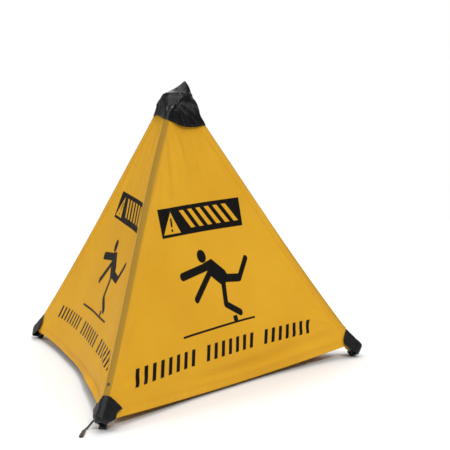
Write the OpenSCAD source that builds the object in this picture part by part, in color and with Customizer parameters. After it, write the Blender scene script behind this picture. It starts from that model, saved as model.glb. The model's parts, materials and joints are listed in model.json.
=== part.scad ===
// Pop-up floor sign: a fabric pyramid on three spring-opened folding legs.
// The origin is on the floor, straight under the hub and level with the feet.
// Leg a points to -Y, leg b to +X and a little +Y, leg c to -X and a little +Y.

/* [Stand] */
// Height of the tip of the cap above the floor
sign_h = 457; // [450:1:464]
// Radius of the circle where the three rod axes meet the floor
foot_r = 336; // [326:1:346]
// Drop from the cap's tip to the point where the rod axes would cross
apex_drop = 4; // [3:0.5:6]

/* [Hub] */
// Distance of each leg hinge from the hub's axis
hinge_r = 19; // [18.5:0.1:19.5]
// Outer radius of the hub body
hub_r = 21.5; // [21.5:0.1:22.5]
// Length of the lever tail, from hinge axis to ball
tail_l = 11; // [10.8:0.1:11.2]
// Angle of the lever tail below level when the sign is open
tail_open_a = 45; // [44:0.5:46]
// Radius of each hinge pin
pin_r = 1.5; // [1.3:0.1:1.6]
// Radius of the central guide bolt
bolt_r = 2; // [1.8:0.1:2.2]

/* [Legs] */
// Radius of the fibreglass rod
rod_r = 3.2; // [2.8:0.1:3.2]
// Radius of the rubber foot tip
tip_r = 5; // [4.8:0.1:5.1]
// Thickness of the fabric sleeve on the rod
sleeve_t = 0.8; // [0.6:0.1:0.8]
// Length of the corner boot along the rod
boot_l = 34; // [30:1:36]
// Reach of the corner boot's two wings along the faces
boot_w = 25; // [20:1:27]

/* [Cloth] */
// Thickness of the face panels
panel_t = 0.8; // [0.5:0.1:1]
// Height of the hem at the corners
hem_z = 15.5; // [14:0.5:18]
// Drop of the hem's middle below its corners
hem_sag = 4.5; // [0:0.5:6]
// How far the hem's middle is drawn in towards the axis
hem_bow = 26; // [0:1:30]
// Height of the cap's lower edge
cap_z = 387; // [385:0.5:389]
// Sideways lean of the cap's soft tip
cap_lean = 14; // [0:1:16]

/* [Cord] */
// Diameter of the pull cord
cord_d = 2.4; // [2:0.1:2.6]
// Length of the tab on the cord
tab_l = 24; // [20:1:26]

/* [Hidden] */
$fn = 48;
// Thickness of a hull's thin slices, and how far a cut runs past the face that it opens
eps = 0.01;
past = 1;

// Stand: leg_az turns leg a, b or c; face_az turns the face from a to b, b to c, c to a
leg_az = [-90, 30, 150];
face_az = [-30, 90, 210];
face_half_a = 60;
apex_z = sign_h - apex_drop;
lean = atan(foot_r / apex_z);
hinge_z = apex_z - hinge_r * apex_z / foot_r;
function leg_r(z) = (apex_z - z) * foot_r / apex_z;

// Hub: block under a cover, with a slot for each knuckle round a central cavity
block_low = hinge_z - 13.4;
block_high = hinge_z + 4.6;
plate_t = 1.5;
block_top = block_high + plate_t;
throat_r = 7;
bevel = 3.8;
hub_chamfer = 1.2;
knuckle_hw = 4.2;
slot_hw = knuckle_hw + 0.4;
eye_r = 4.2;
cheek_hw = eye_r - 0.4;
pin_hl = 8;
run_fit = 0.05;

// Collar on the guide bolt; its groove takes the three tail balls
ball_r = 1.8;
groove_hh = ball_r + 0.5;
flange_t = 1.5;
collar_r = 11.6;
collar_core_r = 4.6;
collar_mid = hinge_z - tail_l * sin(tail_open_a);
collar_hh = groove_hh + flange_t;
cavity_r = collar_r + 0.6;
tail_fold_a = tail_open_a - lean;
tail_hh = 0.9;
tail_hw = 2;

// Spring between collar and cover roof
wire_r = 0.5;
coil_r = 5.4;
turns = 3.5;
coil_steps = 20;
spring_low = collar_mid + collar_hh + wire_r + eps;
cover_r = hub_r - bevel - 0.4;
cover_t = 1.2;
cover_edge = 0.4;
roof_low = block_top + 0.8;
roof_t = 1.6;
boss_r = 8.4;
spring_room_r = coil_r + 1.2;
spring_high = roof_low - wire_r - eps;

// Screws through the cover into the block
screw_pitch_r = 15.2;
screw_r = 1.2;
screw_head_r = 2.2;
screw_head_h = 1.3;
screw_l = 9;
screw_tip_gap = 0.5;
screw_hole_fit = 0.2;
driver_slot_w = 0.6;
driver_slot_depth = 0.7;

// Guide bolt, washer and nut
bolt_head_r = 4.2;
bolt_head_h = 2;
bolt_socket_r = 2.2;
bolt_socket_depth = 1.2;
washer_t = 1;
washer_r = 6.5;
washer_high = collar_mid - collar_hh - 0.05;
nut_h = 3.6;
nut_r = 4.1;
bolt_tail = 1.4;
bolt_low = washer_high - washer_t - nut_h - bolt_tail;

// Legs, measured down the rod from the hinge
socket_top = 14.6;
socket_r = 4.7;
socket_end = 36;
rod_start = 18;
rod_end_z = 3.5;
rod_end = (hinge_z - rod_end_z) / cos(lean);
tip_end_z = 0.5;
tip_end = (hinge_z - tip_end_z) / cos(lean);
tip_l = 10;
tip_start = tip_end - tip_l;
tip_rim_w = 1.6;
tip_rim_t = 0.4;
sleeve_start = 42;
sleeve_gap = 0.35;
sleeve_r = rod_r + sleeve_gap + sleeve_t;
boot_end = tip_start - 0.4;
boot_start = boot_end - boot_l;
sleeve_end = boot_start - 1;
rivet_s = boot_start - 11;
rivet_shank_r = 0.9;
rivet_head_r = 1.7;
rivet_head_t = 0.8;
rivet_fit = 0.1;

// Corner boot: half the angle between the two faces, measured square to the rod
wing_a = atan(sin(30) / (cos(30) * cos(lean)));
wing_low = 2.9;
wing_t = 1.3;
boot_fit = 0.3;

// Face panel grid
panel_nu = 16;
panel_nv = 10;
panel_top_z = cap_z + 3;
panel_end_gap = 7;
panel_lift = 2;
bow_power = 1.3;

// Cap
cap_t = 1.2;
cap_corner_r = 8.3;
cap_ring_r = hub_r + 1.5;
cap_crown_r = screw_pitch_r + screw_head_r + 1;
cap_crown_z = block_top + cover_t + screw_head_h + 0.3;
cap_tip_r = 1.4;
cap_tip_y = 2;

// Pull cord: from the front boot down to the floor and forwards to its tab
cord_sides = 8;
cord_route = [
    [-5.6, -327.5, 12.6], [-6.6, -328.0, 12.4], [-7.6, -328.6, 12.0], [-9.6, -329.8, 11.0],
    [-11.4, -331.0, 9.6], [-13.0, -332.2, 8.0], [-14.4, -333.4, 6.3], [-15.6, -334.8, 4.7],
    [-16.6, -336.4, 3.2], [-17.4, -338.2, 2.1], [-18.0, -340.3, 1.5], [-18.3, -342.6, 1.3],
    [-18.4, -345.0, 1.3], [-18.3, -346.2, 1.3], [-18.2, -347.4, 1.3], [-17.8, -349.8, 1.3]
];
tab_w = 5;
tab_t = 2;
tab_z = 0.2;
tab_taper = 0.5;
tab_az = -80;

// ---------- helpers ----------

// Places a leg part drawn hanging straight down from its hinge at the origin
module on_leg(k) {
    rotate([0, 0, leg_az[k]])
        translate([hinge_r, 0, hinge_z])
            rotate([0, -lean, 0])
                children();
}

// A cylinder along the rod from s0 to s1, measured down from the hinge
module along_rod(s0, s1, r) {
    translate([0, 0, -s1]) cylinder(h = s1 - s0, r = r);
}

function unit(v) = v / norm(v);

// One ring of a swept tube at point i of a route
function tube_ring(route, i, r, sides) =
    let (
        last = len(route) - 1,
        along = unit(route[min(i + 1, last)] - route[max(i - 1, 0)]),
        side = unit(cross(along, [0.1, 0.2, 1])),
        up = cross(side, along)
    )
    [for (k = [0 : sides - 1])
        route[i] + r * (cos(360 * k / sides) * side + sin(360 * k / sides) * up)];

// A closed tube of n rings of the given number of sides
module swept_tube(route, r, sides) {
    n = len(route);
    points = [for (i = [0 : n - 1]) each tube_ring(route, i, r, sides)];
    walls = [for (i = [0 : n - 2]) for (k = [0 : sides - 1])
        let (a = i * sides + k, b = i * sides + (k + 1) % sides)
        each [[a, b, b + sides], [a, b + sides, a + sides]]];
    start = [[for (k = [sides - 1 : -1 : 0]) k]];
    end = [[for (k = [0 : sides - 1]) (n - 1) * sides + k]];
    polyhedron(points = points, faces = concat(walls, start, end));
}

// ---------- hub ----------

module hub_body() {
    color("#26282a") difference() {
        rotate_extrude() polygon([
            [0, block_low], [hub_r - hub_chamfer, block_low], [hub_r, block_low + hub_chamfer],
            [hub_r, block_top - bevel], [hub_r - bevel, block_top], [0, block_top]
        ]);
        translate([0, 0, block_low - past])
            cylinder(h = block_high - block_low + past, r = cavity_r);
        translate([0, 0, block_high - past]) cylinder(h = plate_t + 2 * past, r = throat_r);
        for (a = leg_az) rotate([0, 0, a]) {
            translate([cavity_r - 2 * past, -slot_hw, block_low - past])
                cube([hub_r, 2 * slot_hw, block_high - block_low + past]);
            translate([hinge_r, pin_hl, hinge_z]) rotate([90, 0, 0])
                cylinder(h = 2 * pin_hl, r = pin_r);
        }
        for (a = face_az) rotate([0, 0, a])
            translate([screw_pitch_r, 0, block_top - screw_l])
                cylinder(h = screw_l + past, r = screw_r);
    }
}

module hub_cover() {
    color("#2b2d30") difference() {
        rotate_extrude() polygon([
            [0, block_top], [cover_r, block_top], [cover_r, block_top + cover_t - cover_edge],
            [cover_r - cover_edge, block_top + cover_t], [boss_r, block_top + cover_t],
            [boss_r, roof_low + roof_t - cover_edge], [boss_r - cover_edge, roof_low + roof_t],
            [0, roof_low + roof_t]
        ]);
        translate([0, 0, block_top - past])
            cylinder(h = roof_low - block_top + past, r = spring_room_r);
        translate([0, 0, block_top])
            cylinder(h = roof_low + roof_t - block_top + past, r = bolt_r + run_fit);
        for (a = face_az) rotate([0, 0, a])
            translate([screw_pitch_r, 0, block_top - past])
                cylinder(h = cover_t + 2 * past, r = screw_r + screw_hole_fit);
    }
}

module cover_screws() {
    head_low = block_top + cover_t;
    color("#9a9da1") for (a = face_az) rotate([0, 0, a]) translate([screw_pitch_r, 0, 0])
        difference() {
            union() {
                translate([0, 0, block_top - screw_l + screw_tip_gap])
                    cylinder(h = screw_l + cover_t, r = screw_r);
                translate([0, 0, head_low]) cylinder(h = screw_head_h, r = screw_head_r);
            }
            translate([-screw_head_r, -driver_slot_w / 2, head_low + screw_head_h - driver_slot_depth])
                cube([2 * screw_head_r, driver_slot_w, driver_slot_depth + past]);
        }
}

module hinge_pins() {
    color("#b4b7bb") for (a = leg_az) rotate([0, 0, a])
        translate([hinge_r, pin_hl, hinge_z]) rotate([90, 0, 0])
            cylinder(h = 2 * pin_hl, r = pin_r);
}

module guide_bolt() {
    head_low = roof_low + roof_t;
    color("#a8abaf") difference() {
        union() {
            translate([0, 0, bolt_low]) cylinder(h = head_low - bolt_low + past / 2, r = bolt_r);
            translate([0, 0, head_low]) cylinder(h = bolt_head_h, r = bolt_head_r);
        }
        translate([0, 0, head_low + bolt_head_h - bolt_socket_depth])
            cylinder(h = bolt_socket_depth + past, r = bolt_socket_r, $fn = 6);
    }
}

module stop_washer() {
    color("#b9bcc0") difference() {
        translate([0, 0, washer_high - washer_t]) cylinder(h = washer_t, r = washer_r);
        translate([0, 0, washer_high - washer_t - past]) cylinder(h = washer_t + 2 * past, r = bolt_r);
    }
}

module lock_nut() {
    color("#9da0a4") difference() {
        translate([0, 0, washer_high - washer_t - nut_h]) cylinder(h = nut_h, r = nut_r, $fn = 6);
        translate([0, 0, washer_high - washer_t - nut_h - past])
            cylinder(h = nut_h + 2 * past, r = bolt_r);
    }
}

// ---------- collar and spring ----------

module lever_collar() {
    color("#6d7074") difference() {
        rotate_extrude() polygon([
            [0, collar_mid - collar_hh], [collar_r, collar_mid - collar_hh],
            [collar_r, collar_mid - groove_hh], [collar_core_r, collar_mid - groove_hh],
            [collar_core_r, collar_mid + groove_hh], [collar_r, collar_mid + groove_hh],
            [collar_r, collar_mid + collar_hh], [0, collar_mid + collar_hh]
        ]);
        translate([0, 0, collar_mid - collar_hh - past])
            cylinder(h = 2 * (collar_hh + past), r = bolt_r + run_fit);
    }
}

module opening_spring() {
    steps = turns * coil_steps;
    route = [for (i = [0 : steps])
        let (a = 360 * i / coil_steps)
        [coil_r * cos(a), coil_r * sin(a), spring_low + (spring_high - spring_low) * i / steps]];
    color("#c3c6ca") swept_tube(route, wire_r, 8);
}

// ---------- legs ----------

module knuckle(k) {
    color("#303336") on_leg(k) difference() {
        union() {
            rotate([90, 0, 0]) cylinder(h = 2 * knuckle_hw, r = eye_r, center = true);
            translate([-cheek_hw, -knuckle_hw, -socket_top - past])
                cube([2 * cheek_hw, 2 * knuckle_hw, socket_top + past]);
            along_rod(socket_top, socket_end, socket_r);
            rotate([0, -tail_fold_a, 0]) {
                translate([-tail_l, -tail_hw, -tail_hh]) cube([tail_l, 2 * tail_hw, 2 * tail_hh]);
                translate([-tail_l, 0, 0]) rotate([90, 0, 0])
                    cylinder(h = 2 * tail_hw, r = ball_r, center = true);
            }
        }
        rotate([90, 0, 0]) cylinder(h = 4 * knuckle_hw, r = pin_r + run_fit, center = true);
        along_rod(rod_start, socket_end + past, rod_r);
    }
}

module rod(k) {
    color("#8d8b7a") on_leg(k) along_rod(rod_start, rod_end, rod_r);
}

module sleeve(k) {
    color("#d9a128") on_leg(k) difference() {
        along_rod(sleeve_start, sleeve_end, sleeve_r);
        along_rod(sleeve_start - past, sleeve_end + past, rod_r + sleeve_gap);
        translate([rod_r, 0, -rivet_s]) rotate([0, 90, 0])
            cylinder(h = sleeve_r, r = rivet_shank_r + rivet_fit);
    }
}

module foot_tip(k) {
    color("#17181a") difference() {
        on_leg(k) difference() {
            union() {
                along_rod(tip_start, tip_end, tip_r);
                along_rod(tip_start, tip_start + tip_rim_w, tip_r + tip_rim_t);
            }
            along_rod(tip_start - past, rod_end, rod_r);
        }
        rotate([0, 0, leg_az[k]]) translate([foot_r - 2 * tip_l, -2 * tip_l, -tip_l])
            cube([4 * tip_l, 4 * tip_l, tip_l]);
    }
}

// One side of the boot's wing: s runs down the rod, d away from it along the face
module boot_wing(turn) {
    rotate([0, 0, turn]) translate([0, -wing_low, 0]) rotate([90, 0, 0])
        linear_extrude(height = wing_t) polygon([
            [0, -boot_start], [boot_w * 0.36, -boot_start - 2], [boot_w * 0.8, -boot_start - 9],
            [boot_w, -boot_start - 15], [boot_w * 0.96, -boot_start - 18],
            [boot_w * 0.6, -boot_end + 2], [boot_w * 0.3, -boot_end], [0, -boot_end]
        ]);
}

module corner_boot(k) {
    color("#1d1f21") on_leg(k) difference() {
        union() {
            along_rod(boot_start, boot_end, tip_r + boot_fit);
            boot_wing(180 - wing_a);
            mirror([0, 1, 0]) boot_wing(180 - wing_a);
        }
        along_rod(boot_start - past, boot_end + past, rod_r + boot_fit);
    }
}

module rivet(k) {
    color("#3a3a34") on_leg(k) translate([0, 0, -rivet_s]) rotate([0, 90, 0]) {
        translate([0, 0, rod_r + rivet_fit]) cylinder(h = sleeve_r - rod_r, r = rivet_shank_r);
        translate([0, 0, sleeve_r + run_fit]) cylinder(h = rivet_head_t, r = rivet_head_r);
    }
}

// ---------- cloth ----------

// A point of a face panel: u across from leg to leg, v down from the top to the hem.
// The face is drawn towards +X; side is -1 for the inner and +1 for the outer skin.
function panel_point(u, v, side) =
    let (
        crown = 1 - pow(2 * u - 1, 2),
        z = panel_top_z + (hem_z - hem_sag * crown - panel_top_z) * v,
        draw_in = hem_bow * crown * pow((apex_z - z) / (apex_z - hem_z), bow_power)
    )
    [
        leg_r(z) * cos(face_half_a) + panel_lift - draw_in + side * panel_t / 2,
        (2 * u - 1) * (leg_r(z) * sin(face_half_a) - panel_end_gap),
        z
    ];

module panel(k) {
    w = panel_nu + 1;
    count = w * (panel_nv + 1);
    points = [for (side = [-1, 1]) for (j = [0 : panel_nv]) for (i = [0 : panel_nu])
        panel_point(i / panel_nu, j / panel_nv, side)];
    inner = [for (j = [0 : panel_nv - 1]) for (i = [0 : panel_nu - 1])
        let (a = j * w + i) each [[a, a + w, a + w + 1], [a, a + w + 1, a + 1]]];
    outer = [for (t = inner) [t[2] + count, t[1] + count, t[0] + count]];
    rim = concat(
        [for (i = [0 : panel_nu - 1]) i],
        [for (j = [0 : panel_nv - 1]) j * w + panel_nu],
        [for (i = [panel_nu : -1 : 1]) panel_nv * w + i],
        [for (j = [panel_nv : -1 : 1]) j * w]
    );
    edges = [for (m = [0 : len(rim) - 1])
        let (a = rim[m], b = rim[(m + 1) % len(rim)])
        each [[a, b, b + count], [a, b + count, a + count]]];
    color("#e0a52a") rotate([0, 0, face_az[k]])
        polyhedron(points = points, faces = concat(inner, outer, edges));
}

// The cap's shape, grown by the given amount
module cap_form(grow, low) {
    hull() {
        for (a = leg_az) rotate([0, 0, a])
            translate([leg_r(low), 0, low]) cylinder(h = eps, r = cap_corner_r + grow, $fn = 24);
        translate([0, 0, block_top - bevel]) cylinder(h = eps, r = cap_ring_r + grow, $fn = 32);
        translate([0, 0, cap_crown_z]) cylinder(h = eps, r = cap_crown_r + grow, $fn = 32);
        translate([cap_lean, cap_tip_y, sign_h - cap_tip_r])
            sphere(r = cap_tip_r - cap_t + grow, $fn = 16);
    }
}

module cap() {
    color("#141516") difference() {
        cap_form(cap_t, cap_z);
        cap_form(0, cap_z - past);
    }
}

// ---------- pull cord ----------

module pull_cord() {
    color("#1a1a1b") swept_tube(cord_route, cord_d / 2, cord_sides);
}

module cord_tab() {
    end = cord_route[len(cord_route) - 1];
    color("#202123") translate([end[0], end[1], tab_z]) rotate([0, 0, tab_az])
        linear_extrude(height = tab_t) hull() {
            circle(r = tab_w / 2 - tab_taper, $fn = 32);
            translate([tab_l - tab_w, 0]) circle(r = tab_w / 2, $fn = 32);
        }
}

hub_body();
hub_cover();
cover_screws();
hinge_pins();
guide_bolt();
stop_washer();
lock_nut();
cap();
lever_collar();
opening_spring();
knuckle(0);  // knuckle_a
knuckle(1);  // knuckle_b
knuckle(2);  // knuckle_c
rod(0);  // rod_a
rod(1);  // rod_b
rod(2);  // rod_c
sleeve(0);  // sleeve_a
sleeve(1);  // sleeve_b
sleeve(2);  // sleeve_c
foot_tip(0);  // foot_tip_a
foot_tip(1);  // foot_tip_b
foot_tip(2);  // foot_tip_c
corner_boot(0);  // corner_boot_a
corner_boot(1);  // corner_boot_b
corner_boot(2);  // corner_boot_c
rivet(0);  // rivet_a
rivet(1);  // rivet_b
rivet(2);  // rivet_c
panel(0);  // panel_ab
panel(1);  // panel_bc
panel(2);  // panel_ca
pull_cord();
cord_tab();
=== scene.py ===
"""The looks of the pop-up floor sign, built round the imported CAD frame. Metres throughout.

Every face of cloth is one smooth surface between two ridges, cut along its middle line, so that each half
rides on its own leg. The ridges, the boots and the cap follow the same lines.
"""

import json
from math import atan, cos, pi, radians, sin, sqrt, tau

import bpy
import numpy as np
from mathutils import Matrix, Vector


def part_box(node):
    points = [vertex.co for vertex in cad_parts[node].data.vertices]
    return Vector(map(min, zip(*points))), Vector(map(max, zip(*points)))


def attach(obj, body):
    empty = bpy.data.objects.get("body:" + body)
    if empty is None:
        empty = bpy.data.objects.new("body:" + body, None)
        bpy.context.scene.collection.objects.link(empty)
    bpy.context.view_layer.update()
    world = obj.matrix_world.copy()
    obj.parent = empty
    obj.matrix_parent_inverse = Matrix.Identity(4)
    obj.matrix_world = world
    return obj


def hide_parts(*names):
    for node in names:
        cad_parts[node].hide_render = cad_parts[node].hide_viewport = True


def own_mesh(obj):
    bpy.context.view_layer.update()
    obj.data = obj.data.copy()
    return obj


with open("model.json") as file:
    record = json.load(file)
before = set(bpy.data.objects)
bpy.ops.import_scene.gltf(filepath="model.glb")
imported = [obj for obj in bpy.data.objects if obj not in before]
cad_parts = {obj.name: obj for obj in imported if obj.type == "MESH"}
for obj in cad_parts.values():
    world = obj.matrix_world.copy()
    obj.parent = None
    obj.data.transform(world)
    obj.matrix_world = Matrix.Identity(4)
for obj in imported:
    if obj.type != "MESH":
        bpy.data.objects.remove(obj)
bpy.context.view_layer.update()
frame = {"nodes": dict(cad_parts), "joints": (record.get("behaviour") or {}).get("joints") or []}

# ---------- the stand's lines, as the CAD has them ----------

LEGS = "abc"
LEG_AZ = [radians(-90), radians(30), radians(150)]
APEX_Z = 0.453
FOOT_R = 0.336
LEAN = atan(FOOT_R / APEX_Z)
hinge_joint = frame["joints"][0]
HINGE_R = -hinge_joint["pos_m"][1]
HINGE_Z = hinge_joint["pos_m"][2]
ROD_R = 0.0032
UP = np.array([0.0, 0.0, 1.0])

# Cloth sizes
CLOTH_T = 0.0005
NOSE_R = 0.00415
NOSE_GROWTH = 0.0006
TOP_S = 0.030
FACE_TILT = atan(0.5 * FOOT_R / APEX_Z)
HEM_BOW = 0.013
BOW_POWER = 1.3
HEM_H = 0.010
FLANGE_W = 0.015
# Each face: its legs, how far down each leg its hem starts, the height of the hem's middle, and its print's
# place: off centre, off height, stretched, and tilted at the panel and at the row of bars
FACES = {
    "ab": {
        "legs": (0, 1), "hem_s": (0.527, 0.514), "hem_mid_z": 0.006, "print": (0.0, 0.0, 1.0, 0.0, 0.0),
    },
    "bc": {
        "legs": (1, 2), "hem_s": (0.516, 0.521), "hem_mid_z": 0.010, "print": (0.012, 0.004, 1.0, 0.0, 0.0),
    },
    "ca": {
        "legs": (2, 0), "hem_s": (0.523, 0.516), "hem_mid_z": 0.014,
        "print": (0.050, -0.012, 1.05, 0.197, 0.03),
    },
}
# How far down from the apex the print's two tilts are given
PRINT_TILT_W = (0.20, 0.42)

# The cord leaves the front boot, drops to the floor and ends in its pull tab
CORD_D = 0.0024
CORD_ROUTE_MM = [
    (-5.6, -327.5, 12.6), (-6.6, -328.0, 12.4), (-7.6, -328.6, 12.0), (-9.6, -329.8, 11.0),
    (-11.4, -331.0, 9.6), (-13.0, -332.2, 8.0), (-14.4, -333.4, 6.3), (-15.6, -334.8, 4.7),
    (-16.6, -336.4, 3.2), (-17.4, -338.2, 2.1), (-18.0, -340.3, 1.5), (-18.3, -342.6, 1.3),
    (-18.4, -345.0, 1.3), (-18.3, -346.2, 1.3), (-18.2, -347.4, 1.3), (-17.8, -349.8, 1.3),
]


# ---------- camera ----------

EYE = Vector((0.2954, -1.2303, 0.2965))
LOOK_AZ, PITCH, ROLL = radians(9.65), radians(-2.98), radians(-1.25)
LENS_MM = 63.28


def make_camera():
    right = Vector((cos(LOOK_AZ), sin(LOOK_AZ), 0))
    ahead = Vector((-sin(LOOK_AZ) * cos(PITCH), cos(LOOK_AZ) * cos(PITCH), sin(PITCH)))
    up = right.cross(ahead)
    right, up = cos(ROLL) * right - sin(ROLL) * up, sin(ROLL) * right + cos(ROLL) * up
    data = bpy.data.cameras.new("camera")
    data.lens = LENS_MM
    data.sensor_width = 36
    data.clip_start, data.clip_end = 0.05, 20
    camera = bpy.data.objects.new("camera", data)
    bpy.context.scene.collection.objects.link(camera)
    camera.matrix_world = Matrix.Translation(EYE) @ Matrix((right, up, -ahead)).transposed().to_4x4()
    bpy.context.scene.camera = camera


make_camera()


# ---------- material nodes ----------


class Paint:
    """One material's node tree, with short calls for the nodes that it needs."""

    def __init__(self, name):
        self.material = bpy.data.materials.new(name)
        self.material.use_nodes = True
        self.tree = self.material.node_tree
        self.shader = self.tree.nodes["Principled BSDF"]

    def node(self, kind, **values):
        made = self.tree.nodes.new("ShaderNode" + kind)
        for key, value in values.items():
            setattr(made, key, value)
        return made

    def feed(self, socket, value):
        if isinstance(value, bpy.types.NodeSocket):
            self.tree.links.new(value, socket)
        else:
            socket.default_value = value

    def set(self, **values):
        for key, value in values.items():
            self.feed(self.shader.inputs[key.replace("_", " ")], value)

    def sum(self, operation, a, b=0.0, c=0.0, clamp=False):
        made = self.node("Math", operation=operation, use_clamp=clamp)
        for socket, value in zip(made.inputs, (a, b, c)):
            self.feed(socket, value)
        return made.outputs[0]

    def vector(self, operation, a, b=(0, 0, 0)):
        made = self.node("VectorMath", operation=operation)
        self.feed(made.inputs[0], a)
        self.feed(made.inputs[1], b)
        return made.outputs["Value"] if operation in ("LENGTH", "DOT_PRODUCT") else made.outputs["Vector"]

    def place(self):
        return self.node("TexCoord").outputs["Object"]

    def attribute(self, name, output="Fac"):
        return self.node("Attribute", attribute_name=name).outputs[output]

    def noise(self, scale, detail=3, at=None, rough=0.5):
        made = self.node("TexNoise")
        self.feed(made.inputs["Vector"], self.place() if at is None else at)
        made.inputs["Scale"].default_value = scale
        made.inputs["Detail"].default_value = detail
        made.inputs["Roughness"].default_value = rough
        return made.outputs["Fac"]

    def wave(self, scale, direction, at):
        made = self.node("TexWave", bands_direction=direction)
        self.feed(made.inputs["Vector"], at)
        made.inputs["Scale"].default_value = scale
        return made.outputs["Fac"]

    def ramp(self, value, low, high, to_low=0.0, to_high=1.0):
        made = self.node("MapRange", clamp=True)
        for socket, number in zip(made.inputs, (value, low, high, to_low, to_high)):
            self.feed(socket, number)
        return made.outputs[0]

    def mix(self, share, a, b):
        made = self.node("Mix", data_type="RGBA")
        self.feed(made.inputs["Factor"], share)
        self.feed(made.inputs[6], a)
        self.feed(made.inputs[7], b)
        return made.outputs[2]

    def bump(self, height, distance, strength=1.0, after=None):
        made = self.node("Bump")
        made.inputs["Strength"].default_value = strength
        made.inputs["Distance"].default_value = distance
        self.feed(made.inputs["Height"], height)
        if after is not None:
            self.feed(made.inputs["Normal"], after)
        return made.outputs[0]


def rgb(r, g, b):
    return (r, g, b, 1.0)


# ---------- prints: shapes in the face's own plane, x to the right and w down from the apex ----------

EDGE = 0.0004
INK = rgb(0.006, 0.006, 0.006)
DUST = rgb(0.60, 0.36, 0.09)
YELLOW = rgb(0.755, 0.398, 0.026)
YELLOW_DEEP = rgb(0.70, 0.356, 0.021)
# Painted shade over the rods: the ridge's shade painted in, partly the dark rod seen through the thin cloth
ROD_SHADE = rgb(0.30, 0.178, 0.030)


def capsule(p, at, a, b, radius):
    """1 inside a round-ended bar from a to b."""
    ax, ay = a
    bx, by = b
    span = (bx - ax, by - ay, 0)
    long = max(span[0] ** 2 + span[1] ** 2, 1e-9)
    off = p.vector("SUBTRACT", at, (ax, ay, 0))
    share = p.sum("MULTIPLY", p.vector("DOT_PRODUCT", off, span), 1 / long, clamp=True)
    along = p.node("VectorMath", operation="SCALE")
    along.inputs[0].default_value = span
    p.feed(along.inputs["Scale"], share)
    away = p.vector("LENGTH", p.vector("SUBTRACT", off, along.outputs["Vector"]))
    return p.ramp(away, radius - EDGE, radius + EDGE, 1.0, 0.0)


def convex(p, at, corners):
    """1 inside a convex outline, whose corners go round clockwise as seen with w down."""
    inside = None
    for (ax, ay), (bx, by) in zip(corners, corners[1:] + corners[:1]):
        long = sqrt((bx - ax) ** 2 + (by - ay) ** 2)
        normal = ((ay - by) / long, (bx - ax) / long, 0)
        reach = p.vector("DOT_PRODUCT", p.vector("SUBTRACT", at, (ax, ay, 0)), normal)
        side = p.ramp(reach, -EDGE, EDGE)
        inside = side if inside is None else p.sum("MINIMUM", inside, side)
    return inside


def any_of(p, masks):
    total = masks[0]
    for mask in masks[1:]:
        total = p.sum("MAXIMUM", total, mask)
    return total


def but_not(p, mask, hole):
    return p.sum("MULTIPLY", mask, p.sum("SUBTRACT", 1.0, hole))


def slant_bars(p, at, corners, pitch, share, slope):
    """Slanting bars inside a convex outline."""
    split = p.node("SeparateXYZ")
    p.feed(split.inputs[0], at)
    run = p.sum("ADD", split.outputs[0], p.sum("MULTIPLY", split.outputs[1], slope))
    phase = p.sum("PINGPONG", run, pitch / 2)
    bar = p.ramp(phase, pitch * share / 2 - EDGE, pitch * share / 2 + EDGE, 1.0, 0.0)
    return p.sum("MULTIPLY", bar, convex(p, at, corners))


def bar_band(p, at, lines, first, last, pitch, share, slope):
    """Slanting bars number first to last between two lines, each given as w at x = 0 and its tilt."""
    corners = []
    for number, (w0, tilt) in ((first - 0.5, lines[0]), (last + 0.5, lines[0]), (last + 0.5, lines[1]),
                               (first - 0.5, lines[1])):
        w = (w0 + tilt * number * pitch) / (1 + slope * tilt)
        corners.append((number * pitch - slope * w, w))
    return slant_bars(p, at, corners, pitch, share, slope)


# The lines above and below the panel's stripes and the row of bars: w at x = 0, and tilt
PANEL_LINES = ((0.2045, -0.098), (0.2340, -0.085))
ROW_LINES = ((0.4118, -0.0365), (0.4341, -0.0365))
# The row's groups of bars, as their first and last numbers
ROW_GROUPS = ((-3, 4), (6, 12), (14, 20))


def warning_print(p):
    """The whole print: a panel with a bar and dot in a triangle, a slipping figure, and a row of bars."""
    at = p.attribute("print_xy", "Vector")
    panel = convex(p, at, [(-0.1115, 0.2090), (0.0815, 0.1895), (0.0765, 0.2370), (-0.1130, 0.2525)])
    triangle = convex(p, at, [(-0.0845, 0.2125), (-0.0685, 0.2445), (-0.1080, 0.2475)])
    mark = any_of(p, [
        capsule(p, at, (-0.0860, 0.2240), (-0.0868, 0.2340), 0.0021),
        capsule(p, at, (-0.0874, 0.2408), (-0.0875, 0.2409), 0.0022),
    ])
    stripes = bar_band(p, at, PANEL_LINES, -10, -5, 0.0215, 0.50, -0.75)
    panel = but_not(p, panel, any_of(p, [but_not(p, triangle, mark), stripes]))
    body = convex(p, at, [
        (-0.034, 0.294), (-0.013, 0.288), (0.013, 0.308), (0.018, 0.318), (0.005, 0.331), (-0.004, 0.329),
        (-0.026, 0.312),
    ])
    limbs = [
        ((-0.027, 0.2995), (-0.0865, 0.3110), 0.0062),
        ((-0.021, 0.3070), (-0.0660, 0.3470), 0.0052),
        ((0.006, 0.3200), (0.0385, 0.3215), 0.0066),
        ((0.0410, 0.3230), (0.0655, 0.2910), 0.0047),
        ((0.003, 0.3260), (-0.0020, 0.3600), 0.0052),
        ((-0.0015, 0.3605), (0.0265, 0.3755), 0.0056),
        ((-0.1125, 0.3965), (0.0560, 0.3868), 0.0016),
    ]
    block = convex(p, at, [(0.0075, 0.3798), (0.0175, 0.3788), (0.0180, 0.3898), (0.0082, 0.3904)])
    head = capsule(p, at, (-0.0340, 0.2828), (-0.0340, 0.2832), 0.0100)
    figure = any_of(p, [head, body, block] + [capsule(p, at, a, b, radius) for a, b, radius in limbs])
    rows = [bar_band(p, at, ROW_LINES, first, last, 0.0172, 0.44, 0.40) for first, last in ROW_GROUPS]
    return any_of(p, [panel, figure] + rows)


# ---------- materials ----------


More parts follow.
